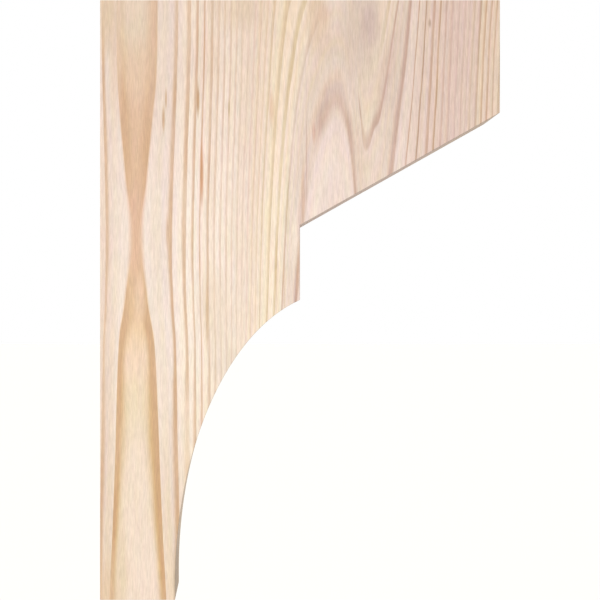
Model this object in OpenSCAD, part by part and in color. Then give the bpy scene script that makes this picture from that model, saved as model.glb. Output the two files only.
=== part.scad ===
// Timber corbel bracket, cut from one piece: a blunt nose under the flat top,
// a sloping underside, a short upright step, and a long cove down to a narrow foot.
// The frame's origin is the centre of the wall face. +X points out of the wall,
// +Y runs through the thickness and +Z points up.

/* [Overall size] */
// Height of the wall face, from the foot to the flat top
height = 609.6; // [400:0.1:900]
// Reach of the flat top, from the wall to the nose
projection = 406.4; // [260:0.1:600]
// Thickness of the timber
thickness = 88.9; // [38.1:0.1:150]

/* [Nose] */
// Height of the nose's upright front
nose_h = 114.3; // [20:0.1:250]
// Fall of the sloping underside, from the nose to the step
slope_h = 114.3; // [0:0.1:250]

/* [Step] */
// Distance of the step's upright face from the wall
step_d = 203.2; // [130:0.1:400]
// Height of the step's upright face
step_h = 76.2; // [10:0.1:250]

/* [Cove and foot] */
// Depth of the foot, from the wall to its front
foot_d = 76.2; // [20:0.1:180]
// Height of the foot's upright front, below the cove
foot_front_h = 14.3; // [1:0.1:120]
// Distance of the cove's centre line in front of the step's face
cove_reach = 40.3; // [0:0.1:150]
// Number of narrow flats that make up the cove
cove_flats = 48; // [12:1:96]

/* [Hidden] */

// Levels of the corners, downwards from the flat top
top_z = height / 2;
nose_z = top_z - nose_h;
slope_z = nose_z - slope_h;
step_z = slope_z - step_h;
foot_z = top_z - height;

// The cove is a stretch of an ellipse. Its centre is level with the top of the foot's
// upright front, so the curve leaves the foot without a corner, and its height is what
// brings the curve to the lower corner of the step.
cove_x = step_d + cove_reach;
cove_z = foot_z + foot_front_h;
cove_half_d = cove_x - foot_d;
cove_turn = acos(cove_reach / cove_half_d);
cove_half_h = (step_z - cove_z) / sin(cove_turn);

// A point of the cove: turn 0 is on the foot, and cove_turn is the step's lower corner
function cove_point(turn) =
    [cove_x - cove_half_d * cos(turn), cove_z + cove_half_h * sin(turn)];

// The cove from the step down to the foot, without the step's own corner
function cove_line() =
    [for (i = [1 : cove_flats]) cove_point(cove_turn * (1 - i / cove_flats))];

// Side outline of the bracket: distance from the wall, level
outline = concat(
    [
        [0, foot_z],
        [0, top_z],
        [projection, top_z],
        [projection, nose_z],
        [step_d, slope_z],
        [step_d, step_z]
    ],
    cove_line(),
    [[foot_d, foot_z]]
);

// The whole bracket: its side outline cut through the thickness of the timber
module corbel() {
    color("burlywood")
        rotate([90, 0, 0])
            linear_extrude(height = thickness, center = true)
                polygon(outline);
}

corbel();
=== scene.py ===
"""Timber corbel bracket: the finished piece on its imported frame, and the studio around it.

Lengths are in metres, except where a name ends in _mm. +X points out of the wall, +Y runs
through the thickness, +Z points up, and the origin is the centre of the wall face.
"""

import logging
import math
from dataclasses import dataclass
from enum import Enum

import bpy
from bpy.types import Material, Node, NodeSocket, NodeTree, Object
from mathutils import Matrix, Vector


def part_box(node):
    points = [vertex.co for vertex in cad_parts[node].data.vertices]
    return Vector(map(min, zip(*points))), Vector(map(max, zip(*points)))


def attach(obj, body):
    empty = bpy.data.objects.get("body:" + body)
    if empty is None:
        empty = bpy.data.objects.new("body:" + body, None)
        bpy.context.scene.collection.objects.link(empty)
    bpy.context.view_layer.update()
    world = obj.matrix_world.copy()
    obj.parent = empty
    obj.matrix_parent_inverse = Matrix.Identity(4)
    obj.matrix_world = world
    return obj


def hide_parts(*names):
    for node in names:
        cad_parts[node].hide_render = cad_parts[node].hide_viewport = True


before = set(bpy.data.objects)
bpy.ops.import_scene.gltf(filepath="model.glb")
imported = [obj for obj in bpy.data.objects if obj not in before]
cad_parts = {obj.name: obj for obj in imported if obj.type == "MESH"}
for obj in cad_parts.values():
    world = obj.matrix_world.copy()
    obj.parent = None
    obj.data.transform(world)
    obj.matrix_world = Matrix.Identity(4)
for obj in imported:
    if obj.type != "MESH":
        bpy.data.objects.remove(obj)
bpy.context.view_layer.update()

MM = 0.001
RUN = "cut_run"
SAWN = "sawn"
MATH = "ShaderNodeMath"
VECTOR_MATH = "ShaderNodeVectorMath"
MAP_RANGE = "ShaderNodeMapRange"

# Nearly all values of a noise texture lie between the first two, most between the others
NOISE_LOW, NOISE_HIGH = 0.25, 0.75
NOISE_LOWER_MID, NOISE_UPPER_MID = 0.3, 0.7

Place = Node | NodeSocket

log = logging.getLogger("corbel")


def linear(hex_colour: str) -> tuple[float, float, float, float]:
    """Turns an sRGB hex colour into the linear colour that a shader takes.

    Args:
        hex_colour: Colour such as "#C8A078".

    Returns:
        Linear red, green and blue, and an alpha of 1.
    """
    channels = [int(hex_colour[i : i + 2], 16) / 255 for i in (1, 3, 5)]
    red, green, blue = (
        c / 12.92 if c <= 0.04045 else ((c + 0.055) / 1.055) ** 2.4 for c in channels
    )
    return red, green, blue, 1.0


def add_node(tree: NodeTree, kind: str, inputs: dict | None = None, **settings: object) -> Node:
    """Adds a node to a tree, sets it up and links it.

    Args:
        tree: Shader or geometry node tree.
        kind: Node type, such as "ShaderNodeMath".
        inputs: For each input, by name or number, a value, an output socket, or a node whose
            first output is meant.
        **settings: Properties of the node itself, such as operation="ADD".

    Returns:
        The new node.
    """
    node = tree.nodes.new(kind)
    for name, value in settings.items():
        setattr(node, name, value)
    for key, value in (inputs or {}).items():
        source = value.outputs[0] if isinstance(value, Node) else value
        if isinstance(source, NodeSocket):
            tree.links.new(source, node.inputs[key])
        else:
            node.inputs[key].default_value = source
    return node


class Saw(Enum):
    """How a surface of the bracket was cut, as the value that the mesh carries in SAWN."""

    PLANED = 0.0
    BAND_SAWN = 1.0


@dataclass(frozen=True)
class FrontOutline:
    """The bracket's front edge in side view, which the saw follows from the foot to the top."""

    height: float
    projection: float
    nose_height: float = 0.1143
    slope_fall: float = 0.1143
    step_distance: float = 0.2032
    step_height: float = 0.0762
    foot_depth: float = 0.0762
    foot_front: float = 0.0143
    cove_reach: float = 0.0403
    cove_steps: int = 64
    corner_ease: float = 0.0007
    corner_steps: int = 4
    row_pitch: float = 0.005
    end_zone: float = 0.001
    end_steps: int = 5

    def cove(self) -> list[Vector]:
        """Draws the cove, a stretch of an ellipse.

        Returns:
            Points from the foot's front up to the step's lower corner.
        """
        step_level = self.height / 2 - self.nose_height - self.slope_fall - self.step_height
        centre_x = self.step_distance + self.cove_reach
        centre_z = self.foot_front - self.height / 2
        half_depth = centre_x - self.foot_depth
        full_turn = math.acos(self.cove_reach / half_depth)
        half_height = (step_level - centre_z) / math.sin(full_turn)
        turns = [full_turn * i / self.cove_steps for i in range(self.cove_steps + 1)]
        return [
            Vector((centre_x - half_depth * math.cos(t), 0, centre_z + half_height * math.sin(t)))
            for t in turns
        ]

    def ease(self, before: Vector, corner: Vector, after: Vector) -> list[Vector]:
        """Rounds an outer corner as sandpaper leaves it.

        Args:
            before: A point of the outline on its way to the corner.
            corner: The sharp corner.
            after: A point of the outline on its way from the corner.

        Returns:
            Points of the short curve that takes the corner's place.
        """
        start = corner + (before - corner).normalized() * self.corner_ease
        end = corner + (after - corner).normalized() * self.corner_ease
        shares = [i / self.corner_steps for i in range(self.corner_steps + 1)]
        return [start.lerp(corner, s).lerp(corner.lerp(end, s), s) for s in shares]

    def straight(self, start: Vector, end: Vector) -> list[Vector]:
        """Returns evenly spaced points from start up to but without end."""
        count = max(1, math.ceil((end - start).length / self.row_pitch))
        return [start.lerp(end, i / count) for i in range(count)]

    def rows(self) -> list[Vector]:
        """Draws the whole front edge.

        Returns:
            Every point in order, from the foot to the top.
        """
        top = self.height / 2
        nose_level = top - self.nose_height
        slope_level = nose_level - self.slope_fall
        foot = Vector((self.foot_depth, 0, -top))
        foot_zone = foot + Vector((0, 0, self.end_zone))
        slope_start = Vector((self.step_distance, 0, slope_level))
        nose_low = Vector((self.projection, 0, nose_level))
        nose_top = Vector((self.projection, 0, top))
        nose_zone = nose_top - Vector((0, 0, self.end_zone))
        cove = self.cove()
        step_corner = self.ease(cove[-2], cove[-1], slope_start)
        nose_corner = self.ease(slope_start, nose_low, nose_top)
        shares = [i / self.end_steps for i in range(self.end_steps)]
        return [
            *(foot.lerp(foot_zone, s) for s in shares),
            *self.straight(foot_zone, cove[0]),
            *cove[:-1],
            *step_corner[:-1],
            *self.straight(step_corner[-1], slope_start),
            *self.straight(slope_start, nose_corner[0]),
            *nose_corner[:-1],
            *self.straight(nose_corner[-1], nose_zone),
            *(nose_zone.lerp(nose_top, s) for s in (*shares, 1.0)),
        ]


@dataclass
class CorbelForm:
    """The bracket's body: its front outline sawn through the timber, with eased arrises."""

    outline: FrontOutline
    thickness: float
    arris: float = 0.0006
    arris_wander: float = 0.35
    arris_waves_per_m: float = 18.0
    planing_depth: float = 0.00012
    planing_waves_per_m: float = 7.0
    corner_angle: float = math.radians(45)
    columns_deep: int = 84
    columns_thick: int = 28
    seed: float = 3.0

    def saw_line(self) -> Object:
        """Draws the front outline as a line of edges that carries its running length.

        Returns:
            An object whose mesh has one vertex for each row of the body.
        """
        points = self.outline.rows()
        edges = [(i, i + 1) for i in range(len(points) - 1)]
        mesh = bpy.data.meshes.new("saw_line")
        mesh.from_pydata([tuple(p) for p in points], edges, [])
        run = mesh.attributes.new(RUN, "FLOAT", "POINT")
        travelled = 0.0
        for i, point in enumerate(points):
            travelled += (point - points[i - 1]).length if i else 0.0
            run.data[i].value = travelled
        line = bpy.data.objects.new("saw_line", mesh)
        bpy.context.scene.collection.objects.link(line)
        return line

    def graded(
        self, tree: NodeTree, step: NodeSocket, steps: NodeSocket, width: NodeSocket
    ) -> Node:
        """Spaces a face's columns: close together near its two arrises, even between them.

        Args:
            tree: Geometry node tree.
            step: Number of the column, from 0.
            steps: Number of the last column.
            width: Width of the face.

        Returns:
            Node that gives the column's distance from the face's first edge.
        """
        zone, fine = self.outline.end_zone, self.outline.end_steps
        far_step = add_node(tree, MATH, {0: steps, 1: fine}, operation="SUBTRACT")
        middle = add_node(tree, MATH, {0: width, 1: 2 * zone}, operation="SUBTRACT")
        near = add_node(tree, MAP_RANGE, {0: step, 1: 0, 2: fine, 3: 0, 4: zone})
        even = add_node(tree, MAP_RANGE, {0: step, 1: fine, 2: far_step, 3: 0, 4: middle})
        far = add_node(tree, MAP_RANGE, {0: step, 1: far_step, 2: steps, 3: 0, 4: zone})
        both = add_node(tree, MATH, {0: near, 1: even}, operation="ADD")
        return add_node(tree, MATH, {0: both, 1: far}, operation="ADD")

    def tree(self) -> tuple[NodeTree, dict[str, str]]:
        """Makes the node tree that carries the front outline through the timber.

        Returns:
            The tree, and the identifier of each of its inputs by name.
        """
        tree = bpy.data.node_groups.new("saw_through_timber", "GeometryNodeTree")
        face = tree.interface
        face.new_socket("Geometry", in_out="INPUT", socket_type="NodeSocketGeometry")
        sockets = {
            "Thickness": "NodeSocketFloat",
            "Arris": "NodeSocketFloat",
            "Arris wander": "NodeSocketFloat",
            "Planing depth": "NodeSocketFloat",
            "Columns deep": "NodeSocketInt",
            "Columns thick": "NodeSocketInt",
            "Seed": "NodeSocketFloat",
            "Timber": "NodeSocketMaterial",
        }
        names = {
            name: face.new_socket(name, in_out="INPUT", socket_type=kind).identifier
            for name, kind in sockets.items()
        }
        face.new_socket("Geometry", in_out="OUTPUT", socket_type="NodeSocketGeometry")
        given = add_node(tree, "NodeGroupInput").outputs

        # A closed block of the same number of rows as the outline has points
        rows = add_node(tree, "GeometryNodeAttributeDomainSize", {0: given["Geometry"]})
        block = add_node(
            tree,
            "GeometryNodeMeshCube",
            {
                "Size": (1, 1, 1),
                "Vertices X": given["Columns deep"],
                "Vertices Y": given["Columns thick"],
                "Vertices Z": rows,
            },
        )
        place = add_node(tree, "GeometryNodeInputPosition")
        from_corner = add_node(tree, VECTOR_MATH, {0: place, 1: (0.5, 0.5, 0.5)}, operation="ADD")
        counts = add_node(
            tree,
            "ShaderNodeCombineXYZ",
            {0: given["Columns deep"], 1: given["Columns thick"], 2: rows},
        )
        last = add_node(tree, VECTOR_MATH, {0: counts, 1: (1, 1, 1)}, operation="SUBTRACT")
        step = add_node(tree, VECTOR_MATH, {0: from_corner, 1: last}, operation="MULTIPLY")
        step_of = add_node(tree, "ShaderNodeSeparateXYZ", {0: step}).outputs
        last_of = add_node(tree, "ShaderNodeSeparateXYZ", {0: last}).outputs
        row = add_node(tree, "FunctionNodeFloatToInt", {0: step_of["Z"]}, rounding_mode="ROUND")

        # Each row takes its depth, level and running length from the outline
        on_line = add_node(
            tree,
            "GeometryNodeSampleIndex",
            {"Geometry": given["Geometry"], "Value": place, "Index": row},
            data_type="FLOAT_VECTOR",
        )
        line = add_node(tree, "ShaderNodeSeparateXYZ", {0: on_line}).outputs
        run_value = add_node(tree, "GeometryNodeInputNamedAttribute", {"Name": RUN})
        run = add_node(
            tree,
            "GeometryNodeSampleIndex",
            {"Geometry": given["Geometry"], "Value": run_value, "Index": row},
        )
        out = self.graded(tree, step_of["X"], last_of["X"], line["X"])
        across = self.graded(tree, step_of["Y"], last_of["Y"], given["Thickness"])
        half = add_node(tree, MATH, {0: given["Thickness"], 1: 0.5}, operation="MULTIPLY")
        side = add_node(tree, MATH, {0: across, 1: half}, operation="SUBTRACT")
        sharp = add_node(tree, "ShaderNodeCombineXYZ", {0: out, 1: side, 2: line["Z"]})

        # The arris is rounded by a radius that wanders along its length
        unevenness = add_node(
            tree,
            "ShaderNodeTexNoise",
            {
                "Vector": sharp,
                "W": given["Seed"],
                "Scale": self.arris_waves_per_m,
                "Detail": 2.0,
            },
            noise_dimensions="4D",
        )
        least, most = (
            add_node(tree, MATH, {0: 1.0, 1: given["Arris wander"]}, operation=sign)
            for sign in ("SUBTRACT", "ADD")
        )
        wander = add_node(
            tree,
            MAP_RANGE,
            {0: unevenness, 1: NOISE_LOWER_MID, 2: NOISE_UPPER_MID, 3: least, 4: most},
        )
        radius = add_node(tree, MATH, {0: given["Arris"], 1: wander}, operation="MULTIPLY")
        level = add_node(tree, "ShaderNodeSeparateXYZ", {0: place})
        levels = add_node(
            tree,
            "GeometryNodeAttributeStatistic",
            {"Geometry": given["Geometry"], "Attribute": level.outputs["Z"]},
        ).outputs
        minus_half = add_node(tree, MATH, {0: 0.0, 1: half}, operation="SUBTRACT")
        low = add_node(tree, "ShaderNodeCombineXYZ", {0: 0.0, 1: minus_half, 2: levels["Min"]})
        high = add_node(tree, "ShaderNodeCombineXYZ", {0: line["X"], 1: half, 2: levels["Max"]})
        inset = add_node(tree, "ShaderNodeCombineXYZ", {0: radius, 1: radius, 2: radius})
        low_in = add_node(tree, VECTOR_MATH, {0: low, 1: inset}, operation="ADD")
        high_in = add_node(tree, VECTOR_MATH, {0: high, 1: inset}, operation="SUBTRACT")
        above = add_node(tree, VECTOR_MATH, {0: sharp, 1: low_in}, operation="MAXIMUM")
        core = add_node(tree, VECTOR_MATH, {0: above, 1: high_in}, operation="MINIMUM")
        outward = add_node(tree, VECTOR_MATH, {0: sharp, 1: core}, operation="SUBTRACT")
        unit = add_node(tree, VECTOR_MATH, {0: outward}, operation="NORMALIZE")
        eased = add_node(tree, VECTOR_MATH, {0: unit, 1: inset, 2: core}, operation="MULTIPLY_ADD")

        # The planer leaves the two broad sides very slightly uneven, always on the inside
        waves = add_node(
            tree,
            "ShaderNodeTexNoise",
            {
                "Vector": eased,
                "W": given["Seed"],
                "Scale": self.planing_waves_per_m,
                "Detail": 1.0,
            },
            noise_dimensions="4D",
        )
        taken = add_node(tree, MATH, {0: waves, 1: given["Planing depth"]}, operation="MULTIPLY")
        share = add_node(tree, MATH, {0: taken, 1: half}, operation="DIVIDE")
        left = add_node(tree, MATH, {0: 1.0, 1: share}, operation="SUBTRACT")
        narrowing = add_node(tree, "ShaderNodeCombineXYZ", {0: 1.0, 1: left, 2: 1.0})
        planed = add_node(tree, VECTOR_MATH, {0: eased, 1: narrowing}, operation="MULTIPLY")
        body = add_node(tree, "GeometryNodeSetPosition", {"Geometry": block, "Position": planed})

        # Sawn edges are told from planed sides, and only true corners stay sharp
        planed_to = add_node(tree, MATH, {0: last_of["X"], 1: 1.0}, operation="SUBTRACT")
        is_front = add_node(
            tree,
            MAP_RANGE,
            {
                0: step_of["X"],
                1: planed_to,
                2: last_of["X"],
                3: Saw.PLANED.value,
                4: Saw.BAND_SAWN.value,
            },
        )
        for name, value in ((SAWN, is_front), (RUN, run)):
            body = add_node(
                tree,
                "GeometryNodeStoreNamedAttribute",
                {"Geometry": body, "Name": name, "Value": value},
            )
        smooth = add_node(tree, "GeometryNodeSetShadeSmooth", {"Geometry": body})
        angle = add_node(tree, "GeometryNodeInputMeshEdgeAngle")
        is_corner = add_node(tree, MATH, {0: angle, 1: self.corner_angle}, operation="GREATER_THAN")
        crisp = add_node(
            tree,
            "GeometryNodeSetShadeSmooth",
            {"Geometry": smooth, "Selection": is_corner, "Shade Smooth": False},
            domain="EDGE",
        )
        whole = add_node(tree, "GeometryNodeRealizeInstances", {"Geometry": crisp})
        dressed = add_node(
            tree, "GeometryNodeSetMaterial", {"Geometry": whole, "Material": given["Timber"]}
        )
        add_node(tree, "NodeGroupOutput", {0: dressed})
        return tree, names

    def build(self, timber: Material) -> Object:
        """Builds the body as a plain closed mesh.

        Args:
            timber: Material of the whole piece.

        Returns:
            The finished piece, at the origin.
        """
        line = self.saw_line()
        tree, names = self.tree()
        cut = line.modifiers.new("saw_through_timber", "NODES")
        cut.node_group = tree
        values = {
            "Thickness": self.thickness,
            "Arris": self.arris,
            "Arris wander": self.arris_wander,
            "Planing depth": self.planing_depth,
            "Columns deep": self.columns_deep,
            "Columns thick": self.columns_thick,
            "Seed": self.seed,
            "Timber": timber,
        }
        for name, value in values.items():
            cut[names[name]] = value
        graph = bpy.context.evaluated_depsgraph_get()
        mesh = bpy.data.meshes.new_from_object(line.evaluated_get(graph))
        mesh.name = "corbel_timber"
        bpy.data.objects.remove(line)
        piece = bpy.data.objects.new("corbel_timber", mesh)
        bpy.context.scene.collection.objects.link(piece)
        return piece


@dataclass(frozen=True)
class Patch:
    """A long soft-edged patch on the bracket's -Y side, along the grain, in millimetres.

    A lean in degrees turns its upper end away from the wall. Its strength is full over its core,
    which is a share of its size, and falls to nothing at its edge and half_depth into the timber.
    """

    out: float
    up: float
    half_width: float
    half_length: float
    strength: float
    lean: float = 0.0
    half_depth: float = 8.0
    core: float = 0.2

    def cover(self, tree: NodeTree, spot: Node, side: float) -> Node:
        """Adds the nodes that tell how far the patch covers each spot.

        Args:
            tree: Shader node tree.
            spot: Position in millimetres.
            side: Y of the -Y side in millimetres.

        Returns:
            Node that gives the patch's strength at its middle and 0 outside it.
        """
        centre = (self.out, side, self.up)
        size = (self.half_width, self.half_depth, self.half_length)
        placed = add_node(
            tree,
            "ShaderNodeMapping",
            {
                "Vector": spot,
                "Location": centre,
                "Rotation": (0, math.radians(self.lean), 0),
                "Scale": size,
            },
            vector_type="TEXTURE",
        )
        reach = add_node(tree, VECTOR_MATH, {0: placed}, operation="LENGTH")
        return add_node(
            tree,
            MAP_RANGE,
            {0: reach.outputs["Value"], 1: self.core, 2: 1.0, 3: self.strength, 4: 0.0},
            interpolation_type="SMOOTHSTEP",
        )


@dataclass(frozen=True)
class StainOrShade:
    """A resin streak, a patch of another colour, or a patch of painted shade on the bracket's -Y
    side.
    """

    patch: Patch
    colour: str


@dataclass(frozen=True)
class Track:
    """A quantity that changes along a line, given at a few points."""

    points: tuple[tuple[float, float], ...]
    smooth: bool = True

    def follow(self, tree: NodeTree, place: Place) -> Node:
        """Adds the nodes that read the quantity off at a place.

        Args:
            tree: Shader node tree.
            place: Where on the line, in the points' own units.

        Returns:
            Node that gives the quantity.
        """
        start, end = self.points[0][0], self.points[-1][0]
        low = min(value for _, value in self.points)
        high = max(value for _, value in self.points)
        share = add_node(tree, MAP_RANGE, {0: place, 1: start, 2: end, 3: 0, 4: 1})
        line = add_node(tree, "ShaderNodeFloatCurve", {"Value": share})
        points = line.mapping.curves[0].points
        drawn = [((at - start) / (end - start), (v - low) / (high - low)) for at, v in self.points]
        points[0].location = drawn[0]
        points[1].location = drawn[-1]
        for at, value in drawn[1:-1]:
            points.new(at, value)
        for point in points:
            point.handle_type = "AUTO_CLAMPED" if self.smooth else "VECTOR"
        line.mapping.update()
        return add_node(tree, MAP_RANGE, {0: line, 1: 0, 2: 1, 3: low, 4: high})


@dataclass(frozen=True)
class Tone:
    """A colour that changes along a line, through a few stops."""

    stops: tuple[tuple[float, str], ...]

    def follow(self, tree: NodeTree, place: Place) -> NodeSocket:
        """Adds the nodes that read the colour off at a place.

        Args:
            tree: Shader node tree.
            place: Where on the line, in the stops' own units.

        Returns:
            Colour socket.
        """
        start, end = self.stops[0][0], self.stops[-1][0]
        share = add_node(tree, MAP_RANGE, {0: place, 1: start, 2: end, 3: 0, 4: 1})
        ramp = add_node(tree, "ShaderNodeValToRGB", {"Fac": share})
        elements = ramp.color_ramp.elements
        elements[0].color = linear(self.stops[0][1])
        elements[1].color = linear(self.stops[-1][1])
        for at, colour in self.stops[1:-1]:
            elements.new((at - start) / (end - start)).color = linear(colour)
        return ramp.outputs["Color"]


@dataclass(frozen=True)
class GrowthRings:
    """Where the tree's rings lie in the timber, in millimetres.

    The pith runs upright outside the -Y side, and comes nearer to it towards both ends, which
    draws the hourglass near the wall. A swelling round an old branch folds the rings under the
    nose, and the tree's spiral growth leans them there. Swelling, lean and sweep are given along
    X, pith depth and thickening along Z, and count, late share and fading along the radius: the
    number of rings so far, the latewood's share of a ring, and the share over which it stops.
    Darkness is given along the rings' numbers. Where a patch of quiet lies, latewood is pale.
    A separate program fitted the pith, squeeze, swelling, lean and sweep, rounded afterwards.
    """

    pith_out: float = 36.8
    heart_edge: float = 86.6
    pith_depth: Track = Track(
        (
            (-305, 80.4), (-200, 82.6), (-50, 84.4), (5, 85.8), (65, 86.3), (125, 85.8),
            (185, 84.9), (245, 83.9), (305, 83.7),
        )
    )
    wall_squeeze: float = 0.4
    squeeze_start: float = 16.0
    swelling_drift: float = -0.35
    swelling_depth: float = 120.0
    swelling_left: float = 0.3
    calm_near: float = 5.0
    calm_far: float = 50.0
    calm_least: float = 0.15
    slow_wave: float = 1.6
    quick_wave: float = 1.2
    lean_level: float = 200.0
    lean_depth: float = 90.0
    lean_left: float = 0.1
    sweep_level: float = 150.0
    sweep_scale: float = 1e-4
    width_spread: float = 0.2
    full_share: float = 0.4
    depth_spread: float = 0.25
    swelling: Track = Track(
        (
            (203, 0.0), (211, 1.2), (218, 4.0), (226, 8.8), (235, 15.5), (245, 25.5), (252, 36.0),
            (258, 48.0), (264, 64.0), (270, 75.0), (278, 80.5), (290, 86.0), (305, 85.0),
            (325, 83.0), (360, 86.5), (406, 94.0),
        )
    )
    lean: Track = Track(
        (
            (60, 0.0), (110, 0.005), (150, 0.022), (190, 0.075), (210, 0.104), (300, 0.1),
            (320, 0.065), (345, 0.03), (406, 0.005),
        )
    )
    sweep: Track = Track(
        ((110, 0.0), (160, 0.0), (200, 1.1), (230, 2.4), (300, 2.3), (340, 0.7), (406, 1.4))
    )
    count: Track = Track(
        (
            (71.5, -1.0), (79, 0.0), (86.6, 1.0), (94.2, 2.0), (100.6, 3.0), (109, 5.0),
            (114.6, 6.0), (136.5, 11.0), (159.3, 16.0), (184.9, 19.0), (203.4, 20.0),
            (214.4, 21.0), (231.7, 23.0), (236.7, 24.0), (252.8, 27.0), (257.5, 28.0),
            (264.9, 30.0), (270.3, 31.0), (282.8, 34.0), (360, 50.0),
        ),
        smooth=False,
    )
    late_share: Track = Track(
        (
            (71.5, 0.32), (86, 0.32), (87, 0.42), (94, 0.42), (102, 0.5), (136, 0.5), (159, 0.5),
            (184, 0.42), (188, 0.38), (201, 0.38), (214, 0.28), (225, 0.36), (240, 0.5),
            (360, 0.5),
        )
    )
    fading: Track = Track(
        ((71.5, 0.025), (87, 0.025), (94, 0.07), (185, 0.07), (189, 0.13), (201, 0.13), (215, 0.07))
    )
    thickening: Track = Track(
        (
            (-305, 1.5), (-240, 1.35), (-180, 1.35), (-90, 1.05), (-30, 0.75), (60, 0.95),
            (200, 1.0), (305, 1.0),
        )
    )
    darkness: Track = Track(
        (
            (-1, 0.0), (0, 0.0), (1, 1.0), (3, 0.8), (5, 0.78), (7, 0.58), (10, 0.48), (12, 0.42),
            (15, 0.42), (17, 0.65), (18, 0.6), (19, 0.95), (20, 1.0), (22, 1.0), (23, 0.7),
            (24, 0.75), (25, 0.42), (27, 0.38), (29, 0.3), (30, 0.38), (31, 0.7), (50, 0.7),
        )
    )
    quiet: tuple[Patch, ...] = (
        Patch(out=267, up=290, half_width=28, half_length=110, strength=2.5),
        Patch(out=238, up=315, half_width=26, half_length=50, strength=1.5),
        Patch(out=238, up=200, half_width=26, half_length=70, strength=0.45),
        Patch(out=203, up=90, half_width=13, half_length=110, strength=0.6),
        Patch(out=212, up=162, half_width=14, half_length=70, strength=0.8),
        Patch(out=76, up=300, half_width=8, half_length=100, strength=0.5),
        Patch(out=201, up=205, half_width=13, half_length=150, strength=0.6, lean=8),
        Patch(out=87, up=-140, half_width=12, half_length=70, strength=0.5),
        Patch(out=18, up=290, half_width=8, half_length=90, strength=0.6),
        Patch(out=36, up=65, half_width=13, half_length=160, strength=0.75),
        Patch(out=36, up=310, half_width=36, half_length=190, strength=0.45),
        Patch(out=36, up=190, half_width=14, half_length=75, strength=0.45),
        Patch(out=215, up=134, half_width=9, half_length=58, strength=0.6, lean=8),
    )


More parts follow.
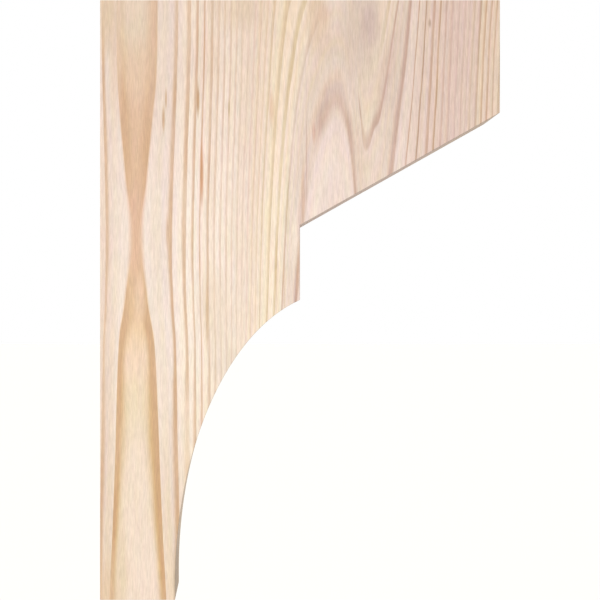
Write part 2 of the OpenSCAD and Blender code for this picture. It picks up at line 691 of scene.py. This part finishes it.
@dataclass(frozen=True)
class FirTimber:
    """Douglas fir, flat-sawn, planed on its sides and band-sawn on its front, left unfinished.

    The eye sees pale cream earlywood, ruled by thin brown latewood that starts softly and stops at
    each ring, with fine upright fibres and a few short resin streaks. Early and late are given
    along the radius, heart and ends along Z; ends is painted shade. Most stops of heart and ends
    are colours that a separate program worked out.
    """

    rings: GrowthRings
    stains_and_shade: tuple[StainOrShade, ...]
    half_thickness_mm: float
    ior: float = 1.45
    early_roughness: float = 0.72
    late_roughness: float = 0.58
    seasons_per_mm: float = 0.25
    season_range: tuple[float, float, float] = (0.1, 0.08, 0.22)
    season_least: tuple[float, float, float] = (0.95, 0.96, 0.89)
    mottle_range: tuple[float, float, float] = (0.08, 0.09, 0.13)
    mottle_least: tuple[float, float, float] = (0.96, 0.955, 0.935)
    fine_fibres: float = 0.12
    broad_fibres: float = 0.015
    heart_blur_mm: float = 0.2
    end_grain_from: float = 0.9
    end_grain_tone: float = 0.82
    late_height: float = 0.8
    saw_pitch_mm: float = 1.8
    saw_sway: float = 0.012
    saw_height: float = 2.5
    relief_mm: float = 0.05
    early: Tone = Tone(
        (
            (80, "#C1B2A5"), (90, "#BFB0A3"), (100, "#C7BAAC"), (112, "#C4B6A8"),
            (125, "#C5B7A9"), (145, "#BFAE9E"), (160, "#C3B4A0"), (175, "#C6B7A3"),
            (185, "#BEB0A1"), (193, "#B8A79A"), (208, "#BFB0A5"), (222, "#B8A699"),
            (245, "#B6A297"), (262, "#B5A297"), (272, "#BAA897"), (360, "#BAA897"),
        )
    )
    late: Tone = Tone(
        (
            (80, "#B8A484"), (84, "#B09870"), (85.6, "#A68666"), (94, "#A6896E"),
            (110, "#A6886D"), (122, "#A68D79"), (145, "#AB9484"), (165, "#A89270"),
            (180, "#A68E6E"), (184, "#9E8470"), (190, "#9A7E6E"), (201, "#9C8070"),
            (218, "#987C66"), (236, "#967860"), (250, "#9A8074"), (262, "#9C8474"),
            (272, "#9A8066"), (360, "#9A8066"),
        )
    )
    heart: Tone = Tone(
        (
            (-305, "#C4B7AF"), (-158, "#C2B3A5"), (-108, "#BDAD96"), (-57, "#BFA893"),
            (-31, "#BDA486"), (0, "#B99E80"), (45, "#B7977F"), (96, "#B6957F"), (146, "#B79C82"),
            (197, "#B99E88"), (248, "#B9A48D"), (273, "#B9A996"), (305, "#BCAC9B"),
        )
    )
    # Painted shade along Z: darker and warmer towards the foot, darker towards the top, brightest
    # just below the middle
    ends: Tone = Tone(
        (
            (-305, "#F9F2E6"), (-200, "#F9F5ED"), (-110, "#FEFDFA"), (-20, "#FFFFFF"),
            (100, "#FDFCFD"), (150, "#FBF8F9"), (200, "#F7F4F3"), (305, "#F4EFED"),
        )
    )

    def build(self) -> Material:
        """Makes the material.

        Returns:
            A material that reads only the piece's own coordinates and attributes.
        """
        material = bpy.data.materials.new("douglas_fir_planed")
        material.use_nodes = True
        tree = material.node_tree
        tree.nodes.clear()
        place = add_node(tree, "ShaderNodeTexCoord").outputs["Object"]
        spot = add_node(tree, VECTOR_MATH, {0: place, "Scale": 1 / MM}, operation="SCALE")
        radius = self.ring_radius(tree, spot)
        late = self.latewood(tree, spot, radius)
        colour = self.colour(tree, spot, radius, late)
        normal = self.relief(tree, spot, late)
        roughness = add_node(
            tree, MAP_RANGE, {0: late, 1: 0, 2: 1, 3: self.early_roughness, 4: self.late_roughness}
        )
        shader = add_node(
            tree,
            "ShaderNodeBsdfPrincipled",
            {"Base Color": colour, "Roughness": roughness, "Normal": normal, "IOR": self.ior},
        )
        add_node(tree, "ShaderNodeOutputMaterial", {"Surface": shader})
        return material

    def grain_noise(
        self, tree: NodeTree, spot: Node, width_mm: float, length_mm: float, detail: float
    ) -> Node:
        """Adds noise whose spots are drawn out along the fibres.

        Args:
            tree: Shader node tree.
            spot: Position in millimetres.
            width_mm: Size of the spots across the fibres.
            length_mm: Size of the spots along the fibres.
            detail: Number of finer layers.

        Returns:
            Noise node, about 0.5 on average.
        """
        stretch = (1 / width_mm, 1 / width_mm, 1 / length_mm)
        drawn = add_node(tree, VECTOR_MATH, {0: spot, 1: stretch}, operation="MULTIPLY")
        return add_node(
            tree, "ShaderNodeTexNoise", {"Vector": drawn, "Scale": 1.0, "Detail": detail}
        )

    def ring_radius(self, tree: NodeTree, spot: Node) -> Node:
        """Finds how far each spot is from the pith, as the rings see it.

        Args:
            tree: Shader node tree.
            spot: Position in millimetres.

        Returns:
            Node that gives the radius in millimetres.
        """
        rings = self.rings
        axis = add_node(tree, "ShaderNodeSeparateXYZ", {0: spot}).outputs
        out, up = axis["X"], axis["Z"]
        depth = rings.pith_depth.follow(tree, up)
        inside = add_node(tree, MATH, {0: axis["Y"], 1: self.half_thickness_mm}, operation="ADD")
        deep = add_node(tree, MATH, {0: depth, 1: inside}, operation="ADD")

        # The swelling moves the rings sideways, less and less towards the +Y side
        shifted = add_node(
            tree, MATH, {0: inside, 1: rings.swelling_drift, 2: out}, operation="MULTIPLY_ADD"
        )
        bulge = rings.swelling.follow(tree, shifted)
        left = add_node(
            tree,
            MAP_RANGE,
            {0: inside, 1: 0, 2: rings.swelling_depth, 3: 1, 4: rings.swelling_left},
        )
        moved = add_node(tree, MATH, {0: bulge, 1: left}, operation="MULTIPLY")
        unfolded = add_node(tree, MATH, {0: out, 1: moved}, operation="SUBTRACT")
        aside = add_node(tree, MATH, {0: unfolded, 1: rings.pith_out}, operation="SUBTRACT")

        # Towards the wall the rings lie closer together
        past_start = add_node(tree, MATH, {0: aside, 1: rings.squeeze_start}, operation="ADD")
        toward_wall = add_node(tree, MATH, {0: past_start, 1: 0.0}, operation="MINIMUM")
        uneven = add_node(
            tree, MATH, {0: toward_wall, 1: rings.wall_squeeze, 2: aside}, operation="MULTIPLY_ADD"
        )

        # Small waves in the rings, which fade out towards the pith's own line
        far = add_node(tree, MATH, {0: aside}, operation="ABSOLUTE")
        calm = add_node(
            tree,
            MAP_RANGE,
            {0: far, 1: rings.calm_near, 2: rings.calm_far, 3: rings.calm_least, 4: 1.0},
            interpolation_type="SMOOTHSTEP",
        )
        slow = self.grain_noise(tree, spot, width_mm=40, length_mm=150, detail=0.0)
        quick = self.grain_noise(tree, spot, width_mm=9, length_mm=60, detail=1.0)
        wave = -(rings.slow_wave + rings.quick_wave) / 2
        for noise, size in ((slow, rings.slow_wave), (quick, rings.quick_wave)):
            wave = add_node(tree, MATH, {0: noise, 1: size, 2: wave}, operation="MULTIPLY_ADD")
        waved = add_node(tree, MATH, {0: wave, 1: calm, 2: uneven}, operation="MULTIPLY_ADD")
        offset = add_node(tree, "ShaderNodeCombineXYZ", {0: waved, 1: deep, 2: 0.0})
        straight = add_node(tree, VECTOR_MATH, {0: offset}, operation="LENGTH")

        # The grain's lean, which straightens towards the +Y side, and its sweep
        lean = rings.lean.follow(tree, out)
        easing = add_node(
            tree, MAP_RANGE, {0: inside, 1: 0, 2: rings.lean_depth, 3: 1, 4: rings.lean_left}
        )
        leant = add_node(tree, MATH, {0: lean, 1: easing}, operation="MULTIPLY")
        below = add_node(tree, MATH, {0: rings.lean_level, 1: up}, operation="SUBTRACT")
        leaning = add_node(
            tree, MATH, {0: leant, 1: below, 2: straight.outputs["Value"]}, operation="MULTIPLY_ADD"
        )
        sweep = rings.sweep.follow(tree, out)
        reach = add_node(tree, MATH, {0: up, 1: rings.sweep_level}, operation="SUBTRACT")
        square = add_node(tree, MATH, {0: reach, 1: reach}, operation="MULTIPLY")
        swept = add_node(tree, MATH, {0: square, 1: sweep}, operation="MULTIPLY")
        return add_node(
            tree, MATH, {0: swept, 1: -rings.sweep_scale, 2: leaning}, operation="MULTIPLY_ADD"
        )

    def latewood(self, tree: NodeTree, spot: Node, radius: Node) -> Node:
        """Turns the radius into rings that darken softly outwards and stop over a short way.

        Args:
            tree: Shader node tree.
            spot: Position in millimetres.
            radius: Radius in millimetres.

        Returns:
            Amount of latewood from 0 to 1.
        """
        rings = self.rings
        number = rings.count.follow(tree, radius)
        ring = add_node(tree, MATH, {0: number}, operation="FLOOR")
        part = add_node(tree, MATH, {0: number, 1: ring}, operation="SUBTRACT")
        chance = add_node(tree, "ShaderNodeTexWhiteNoise", {"W": ring}, noise_dimensions="1D")
        share = rings.late_share.follow(tree, radius)
        least, most = 1 - rings.width_spread, 1 + rings.width_spread
        vary = add_node(
            tree, MAP_RANGE, {0: chance.outputs["Value"], 1: 0, 2: 1, 3: least, 4: most}
        )
        up = add_node(tree, "ShaderNodeSeparateXYZ", {0: spot}).outputs["Z"]
        thick = rings.thickening.follow(tree, up)
        grown = add_node(tree, MATH, {0: share, 1: thick}, operation="MULTIPLY")
        wide = add_node(tree, MATH, {0: grown, 1: vary}, operation="MULTIPLY")
        start = add_node(tree, MATH, {0: 1.0, 1: wide}, operation="SUBTRACT")
        full = add_node(
            tree, MATH, {0: wide, 1: -rings.full_share, 2: 1.0}, operation="MULTIPLY_ADD"
        )
        soft = add_node(
            tree,
            MAP_RANGE,
            {0: part, 1: start, 2: full, 3: 0.0, 4: 1.0},
            interpolation_type="SMOOTHSTEP",
        )
        fading = rings.fading.follow(tree, radius)
        last = add_node(tree, MATH, {0: 1.0, 1: fading}, operation="SUBTRACT")
        stop = add_node(
            tree,
            MAP_RANGE,
            {0: part, 1: last, 2: 1.0, 3: 1.0, 4: 0.0},
            interpolation_type="SMOOTHSTEP",
        )
        shape = add_node(tree, MATH, {0: soft, 1: stop}, operation="MULTIPLY")
        outer = add_node(tree, MATH, {0: ring, 1: 1.0}, operation="ADD")
        dark = rings.darkness.follow(tree, outer)
        slow = self.grain_noise(tree, spot, width_mm=14, length_mm=90, detail=1.0)
        least, most = 1 - rings.depth_spread, 1 + rings.depth_spread
        depth = add_node(tree, MAP_RANGE, {0: slow, 1: NOISE_LOW, 2: NOISE_HIGH, 3: least, 4: most})
        weight = add_node(tree, MATH, {0: dark, 1: depth}, operation="MULTIPLY")
        for patch in rings.quiet:
            cover = patch.cover(tree, spot, -self.half_thickness_mm)
            seen = add_node(tree, MATH, {0: 1.0, 1: cover}, operation="SUBTRACT", use_clamp=True)
            weight = add_node(tree, MATH, {0: weight, 1: seen}, operation="MULTIPLY")
        return add_node(tree, MATH, {0: shape, 1: weight}, operation="MULTIPLY", use_clamp=True)

    def colour(self, tree: NodeTree, spot: Node, radius: Node, late: Node) -> NodeSocket:
        """Colours the rings, from creamy near the pith to pinker far from it.

        Args:
            tree: Shader node tree.
            spot: Position in millimetres.
            radius: Radius in millimetres.
            late: Amount of latewood.

        Returns:
            Colour socket.
        """
        # Some rings grew a little yellower than others, some a little pinker
        season = add_node(tree, MATH, {0: radius, 1: self.seasons_per_mm}, operation="MULTIPLY")
        growth = add_node(
            tree, "ShaderNodeTexNoise", {"W": season, "Scale": 1.0}, noise_dimensions="1D"
        )
        tint = add_node(
            tree,
            VECTOR_MATH,
            {0: growth.outputs["Color"], 1: self.season_range, 2: self.season_least},
            operation="MULTIPLY_ADD",
        )
        early_far, late_wood = (
            add_node(tree, VECTOR_MATH, {0: tone, 1: tint}, operation="MULTIPLY")
            for tone in (self.early.follow(tree, radius), self.late.follow(tree, radius))
        )

        # The heart inside the first ring, and the latewood over all of it
        up = add_node(tree, "ShaderNodeSeparateXYZ", {0: spot}).outputs["Z"]
        edge, blur = self.rings.heart_edge, self.heart_blur_mm
        past_heart = add_node(
            tree, MAP_RANGE, {0: radius, 1: edge - blur, 2: edge + blur, 3: 0, 4: 1}
        )
        early_wood = add_node(
            tree,
            "ShaderNodeMix",
            {0: past_heart, 6: self.heart.follow(tree, up), 7: early_far},
            data_type="RGBA",
        ).outputs[2]
        wood = add_node(
            tree, "ShaderNodeMix", {0: late, 6: early_wood, 7: late_wood}, data_type="RGBA"
        ).outputs[2]
        # Painted shade: the wood is multiplied by ends, which darkens it towards its top and its
        # foot
        shaded_by_height = add_node(
            tree, VECTOR_MATH, {0: wood, 1: self.ends.follow(tree, up)}, operation="MULTIPLY"
        )

        # Patches of colour, resin streaks and painted shade lie over the rings, and the fibres over
        # all of them
        stained_and_shaded = shaded_by_height.outputs[0]
        for stain_or_shade in self.stains_and_shade:
            cover = stain_or_shade.patch.cover(tree, spot, -self.half_thickness_mm)
            stained_and_shaded = add_node(
                tree,
                "ShaderNodeMix",
                {0: cover, 6: stained_and_shaded, 7: linear(stain_or_shade.colour)},
                data_type="RGBA",
            ).outputs[2]

        # Earlywood is faintly pink here and faintly green there
        mottle = self.grain_noise(tree, spot, width_mm=5, length_mm=30, detail=2.0)
        hue = add_node(
            tree,
            VECTOR_MATH,
            {0: mottle.outputs["Color"], 1: self.mottle_range, 2: self.mottle_least},
            operation="MULTIPLY_ADD",
        )
        mottled = add_node(tree, VECTOR_MATH, {0: stained_and_shaded, 1: hue}, operation="MULTIPLY")

        # Real fibres are too fine to show, so these are drawn as coarse as they need to be
        fine = self.grain_noise(tree, spot, width_mm=0.8, length_mm=9, detail=2.0)
        broad = self.grain_noise(tree, spot, width_mm=2.4, length_mm=60, detail=1.0)
        fine_tone, broad_tone = (
            add_node(
                tree,
                MAP_RANGE,
                {0: noise, 1: NOISE_LOW, 2: NOISE_HIGH, 3: 1 - contrast, 4: 1 + contrast},
            )
            for noise, contrast in ((fine, self.fine_fibres), (broad, self.broad_fibres))
        )
        fibres = add_node(tree, MATH, {0: fine_tone, 1: broad_tone}, operation="MULTIPLY")

        # Cuts straight across the fibres soak up light: the top and the foot
        facing = add_node(tree, "ShaderNodeTexCoord").outputs["Normal"]
        upright = add_node(
            tree, VECTOR_MATH, {0: facing, 1: (0, 0, 1)}, operation="DOT_PRODUCT"
        ).outputs["Value"]
        across = add_node(tree, MATH, {0: upright}, operation="ABSOLUTE")
        soaked = add_node(
            tree,
            MAP_RANGE,
            {0: across, 1: self.end_grain_from, 2: 1.0, 3: 1.0, 4: self.end_grain_tone},
        )
        tone = add_node(tree, MATH, {0: fibres, 1: soaked}, operation="MULTIPLY")
        return add_node(
            tree, VECTOR_MATH, {0: mottled, "Scale": tone}, operation="SCALE"
        ).outputs[0]

    def relief(self, tree: NodeTree, spot: Node, late: Node) -> Node:
        """Raises the hard latewood a little and lays the saw's marks across the sawn edges.

        Args:
            tree: Shader node tree.
            spot: Position in millimetres.
            late: Amount of latewood.

        Returns:
            Node that gives the bent normal.
        """
        # As with the colour, the fibres are coarser than real ones, so that they show
        fibres = self.grain_noise(tree, spot, width_mm=0.7, length_mm=22, detail=2.0)
        raised = add_node(
            tree, MATH, {0: late, 1: self.late_height, 2: fibres}, operation="MULTIPLY_ADD"
        )

        # The saw leaves a mark about every saw_pitch_mm, nearly even across the timber
        run = add_node(tree, "ShaderNodeAttribute", attribute_name=RUN).outputs["Fac"]
        sawn = add_node(tree, "ShaderNodeAttribute", attribute_name=SAWN).outputs["Fac"]
        across = add_node(tree, "ShaderNodeSeparateXYZ", {0: spot}).outputs["Y"]
        sway = add_node(tree, MATH, {0: across, 1: self.saw_sway}, operation="MULTIPLY")
        teeth_per_m = 1 / (self.saw_pitch_mm * MM)
        teeth = add_node(tree, MATH, {0: run, 1: teeth_per_m}, operation="MULTIPLY")
        path = add_node(tree, "ShaderNodeCombineXYZ", {0: teeth, 1: sway, 2: 0.0})
        scored = add_node(tree, "ShaderNodeTexNoise", {"Vector": path, "Scale": 1.0, "Detail": 2.0})
        marks = add_node(tree, MATH, {0: scored, 1: sawn}, operation="MULTIPLY")
        height = add_node(
            tree, MATH, {0: marks, 1: self.saw_height, 2: raised}, operation="MULTIPLY_ADD"
        )
        return add_node(
            tree,
            "ShaderNodeBump",
            {"Height": height, "Distance": self.relief_mm * MM, "Strength": 1.0},
        )


@dataclass(frozen=True)
class Studio:
    """White room, plain pale floor, one large soft lamp high on the left, and the camera."""

    camera_out: float = 0.1412
    camera_up: float = -0.005
    camera_distance: float = 1.38
    lens_mm: float = 81.5
    shift_out: float = 0.1017
    shift_up: float = 0.0082
    floor_level: float = -1.2
    floor_width: float = 80.0
    lamp_strength: float = 2.77
    lamp_spread: float = math.radians(35)
    lamp_from: tuple[float, float, float] = (-0.35, -0.8, 0.5)
    room_white: float = 1.0
    floor_colour: str = "#DCDAD6"
    floor_roughness: float = 0.9

    def floor(self) -> Object:
        """Lays the pale matt floor well below the bracket, which hangs from its wall face.

        Returns:
            The floor.
        """
        half = self.floor_width / 2
        corners = [(-half, -half), (half, -half), (half, half), (-half, half)]
        mesh = bpy.data.meshes.new("studio_floor")
        mesh.from_pydata([(x, y, self.floor_level) for x, y in corners], [], [(0, 1, 2, 3)])

        # Emulsion paint, rolled on, looks even and dull
        paint = bpy.data.materials.new("studio_floor_paint")
        paint.use_nodes = True
        shader = paint.node_tree.nodes["Principled BSDF"]
        shader.inputs["Base Color"].default_value = linear(self.floor_colour)
        shader.inputs["Roughness"].default_value = self.floor_roughness
        mesh.materials.append(paint)
        floor = bpy.data.objects.new("studio_floor", mesh)
        bpy.context.scene.collection.objects.link(floor)
        return floor

    def light(self) -> None:
        """Lights the room evenly and adds the soft lamp."""
        scene = bpy.context.scene
        room = bpy.data.worlds.new("studio_room")
        room.use_nodes = True
        background = room.node_tree.nodes["Background"]
        background.inputs["Color"].default_value = (1, 1, 1, 1)
        background.inputs["Strength"].default_value = self.room_white
        scene.world = room
        data = bpy.data.lights.new("studio_lamp", "SUN")
        data.energy = self.lamp_strength
        data.angle = self.lamp_spread
        lamp = bpy.data.objects.new("studio_lamp", data)
        lamp.rotation_euler = Vector(self.lamp_from).to_track_quat("Z", "Y").to_euler()
        scene.collection.objects.link(lamp)
        scene.view_settings.view_transform = "Standard"

    def camera(self, near_side: float) -> Object:
        """Sets the camera square to the -Y side.

        Args:
            near_side: Y of the side that faces the camera.

        Returns:
            The camera.
        """
        data = bpy.data.cameras.new("camera")
        data.lens = self.lens_mm
        data.shift_x = self.shift_out
        data.shift_y = self.shift_up
        camera = bpy.data.objects.new("camera", data)
        camera.location = (self.camera_out, near_side - self.camera_distance, self.camera_up)
        camera.rotation_euler = (math.pi / 2, 0, 0)
        bpy.context.scene.collection.objects.link(camera)
        bpy.context.scene.camera = camera
        return camera


def stains_and_painted_shade() -> tuple[StainOrShade, ...]:
    """Lists the broad patches of colour and then the narrow streaks that show on the -Y side, among
    them painted shade low on the cove and, in part, along the wall edge.

    Returns:
        Patches of colour and of painted shade, each over the ones before it. A patch's numbers are
        its place out from the wall and up, its half width and half length, and its strength.
    """
    return (
        StainOrShade(Patch(290, 245, 56, 135, 0.3), "#A39086"),
        StainOrShade(Patch(106, 243, 34, 52, 0.18), "#A0826B"),
        StainOrShade(Patch(219, 300, 12, 36, 0.35), "#A18572"),
        StainOrShade(Patch(252, 212, 11, 36, 0.35), "#BDABA1"),
        StainOrShade(Patch(198, 62, 6, 42, 0.6), "#C5B8A7"),
        StainOrShade(Patch(266, 285, 30, 105, 0.9), "#A89689"),
        StainOrShade(Patch(274, 282, 13, 30, 0.6), "#9C8882"),
        StainOrShade(Patch(290, 228, 9, 80, 0.4, lean=11), "#A0847A"),
        StainOrShade(Patch(227, 290, 7, 14, 0.5), "#B0907E"),
        StainOrShade(Patch(222, 282, 18, 50, 0.7), "#AE9782"),
        StainOrShade(Patch(135, 303, 50, 42, 0.5), "#AF9A86"),
        StainOrShade(Patch(146, 295, 15, 32, 0.4), "#AD9A83"),
        # A darker strip along the wall edge, the whole height: partly painted shade at that edge,
        # partly the wood's own colour
        StainOrShade(Patch(4, 0, 15, 330, 0.5), "#B39B87"),
        StainOrShade(Patch(125, -54, 20, 55, 0.35), "#AFA192"),
        StainOrShade(Patch(22, -285, 9, 110, 0.45), "#AF9D7A"),
        StainOrShade(Patch(41, -2, 8, 38, 0.4), "#C5AC97"),
        StainOrShade(Patch(8, -305, 16, 70, 0.6), "#B09679"),
        StainOrShade(Patch(115, -5, 24, 55, 0.55), "#B8A794"),
        StainOrShade(Patch(8, 300, 14, 75, 0.9), "#AE9981"),
        StainOrShade(Patch(201.5, 30, 3, 45, 0.4), "#A07C60"),
        StainOrShade(Patch(265, 148, 16, 60, 0.5), "#AF9C8B"),
        # Painted shade low on the cove just above the foot, reaching through the whole thickness
        StainOrShade(Patch(77, -290, 3.5, 75, 0.75, half_depth=200), "#9A866F"),
        StainOrShade(Patch(52, 255, 10, 115, 0.55), "#AF9480"),
        StainOrShade(Patch(17, 245, 9, 90, 0.5), "#B29984"),
        StainOrShade(Patch(217.3, 170, 2.8, 16, 0.5), "#A5806C"),
        StainOrShade(Patch(206.3, 108, 3.0, 48, 0.5), "#A4846C"),
        StainOrShade(Patch(209.8, 142, 1.1, 64, 0.5), "#94786C"),
        StainOrShade(Patch(67, 204, 1.8, 15, 0.8), "#A08468"),
        StainOrShade(Patch(64.5, 184, 2.2, 20, 0.8), "#9E7E60"),
        StainOrShade(Patch(99.5, 203, 2.3, 23, 0.9), "#94704E"),
        StainOrShade(Patch(103.4, 128, 2.6, 46, 0.85), "#A2744C"),
        StainOrShade(Patch(108.8, -12, 2.4, 58, 0.6), "#A0825E"),
        StainOrShade(Patch(68.5, 70, 2.6, 26, 0.6), "#A58669"),
        StainOrShade(Patch(174.5, 195, 4, 26, 0.55), "#AA8A70"),
        StainOrShade(Patch(131, 195, 1.5, 14, 0.8), "#9C8A6C"),
        StainOrShade(Patch(190.5, 92, 2.8, 50, 0.4), "#A89B74"),
        StainOrShade(Patch(187, 18, 2.6, 44, 0.3), "#A68A66"),
        StainOrShade(Patch(179, 28, 2.2, 56, 0.5), "#A68C66"),
        StainOrShade(Patch(335, 281.5, 2.4, 6.5, 0.8), "#8C7867"),
    )


def main() -> None:
    """Builds the bracket and its studio, piece by piece."""
    low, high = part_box("corbel")
    thickness = high.y - low.y
    outline = FrontOutline(height=high.z - low.z, projection=high.x)
    timber = FirTimber(GrowthRings(), stains_and_painted_shade(), thickness / MM / 2).build()
    piece = CorbelForm(outline, thickness).build(timber)
    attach(piece, "root")
    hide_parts("corbel")
    log.info("%s: %d faces", piece.name, len(piece.data.polygons))
    studio = Studio()
    studio.floor()
    studio.light()
    studio.camera(low.y)
    log.info("studio: floor at %.2f m", studio.floor_level)


if __name__ == "__main__":
    logging.basicConfig(level=logging.INFO, format="%(name)s: %(message)s")
    main()
